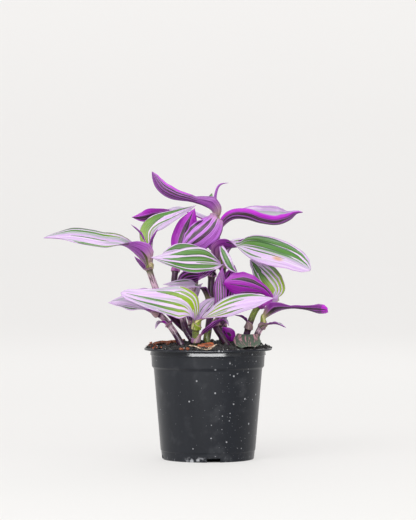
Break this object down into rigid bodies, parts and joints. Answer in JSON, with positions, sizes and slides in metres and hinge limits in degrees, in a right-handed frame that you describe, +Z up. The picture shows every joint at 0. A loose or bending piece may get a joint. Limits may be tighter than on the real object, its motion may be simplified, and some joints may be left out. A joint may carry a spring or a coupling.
{
  "type": "potted tradescantia",
  "caption": "Bushy trailing houseplant with striped lilac and green leaves, purple beneath, on fleshy stems, in a round black thin-walled nursery pot filled with dark potting mix.",
  "frame": {"origin": "middle of the flat pad under the pot, on the surface the pot stands on", "axes": "+Z up; -Y is the front, the side with the two widest low leaves; +X is to the right seen from the front"},
  "size_m": [0.2328, 0.1502, 0.2372],
  "materials": {
    "pot_plastic": "satin black moulded polypropylene, lightly dusty",
    "potting_mix": "dark crumbly peat mix with pale grit",
    "bark": "rough orange-brown bark",
    "stem": "smooth fleshy stem, purple-brown with paler internodes",
    "leaf_variegated": "satin leaf, pale lilac with green stripes above, magenta-purple beneath",
    "leaf_purple_side": "satin leaf seen mostly from its magenta-purple underside, striped darker"
  },
  "bodies": {
    "root": {"bark_chip_a": "bark", "bark_chip_b": "bark", "bark_chip_c": "bark", "leaf_a1": "leaf_purple_side", "leaf_a2": "leaf_purple_side", "leaf_a3": "leaf_purple_side", "leaf_a4": "leaf_variegated", "leaf_a5": "leaf_purple_side", "leaf_a6": "leaf_purple_side", "leaf_a8": "leaf_variegated", "leaf_b1": "leaf_variegated", "leaf_b2": "leaf_variegated", "leaf_b3": "leaf_purple_side", "leaf_b4": "leaf_purple_side", "leaf_b5": "leaf_variegated", "leaf_b6": "leaf_purple_side", "leaf_c1": "leaf_variegated", "leaf_c2": "leaf_variegated", "leaf_c3": "leaf_variegated", "leaf_c4": "leaf_purple_side", "leaf_c5": "leaf_purple_side", "leaf_d1": "leaf_variegated", "leaf_d2": "leaf_purple_side", "leaf_d3": "leaf_purple_side", "leaf_d4": "leaf_purple_side", "leaf_d5": "leaf_purple_side", "leaf_e1": "leaf_variegated", "leaf_e2": "leaf_variegated", "leaf_f1": "leaf_variegated", "leaf_f2": "leaf_variegated", "leaf_f3": "leaf_purple_side", "leaf_g1": "leaf_variegated", "leaf_g2": "leaf_purple_side", "leaf_g4": "leaf_purple_side", "leaf_h1": "leaf_variegated", "leaf_k2": "leaf_purple_side", "leaf_m1": "leaf_purple_side", "leaf_n1": "leaf_variegated", "leaf_n2": "leaf_variegated", "leaf_n3": "leaf_variegated", "leaf_n4": "leaf_variegated", "leaf_o1": "leaf_variegated", "leaf_p1": "leaf_variegated", "leaf_p2": "leaf_variegated", "leaf_p3": "leaf_variegated", "pot": "pot_plastic", "potting_mix": "potting_mix", "stem_back": "stem", "stem_back_right": "stem", "stem_front": "stem", "stem_lean": "stem", "stem_left": "stem", "stem_low_left": "stem", "stem_main": "stem", "stem_middle": "stem", "stem_rear_left": "stem", "stem_right_lower": "stem", "stem_right_upper": "stem"}
  },
  "joints": []
}
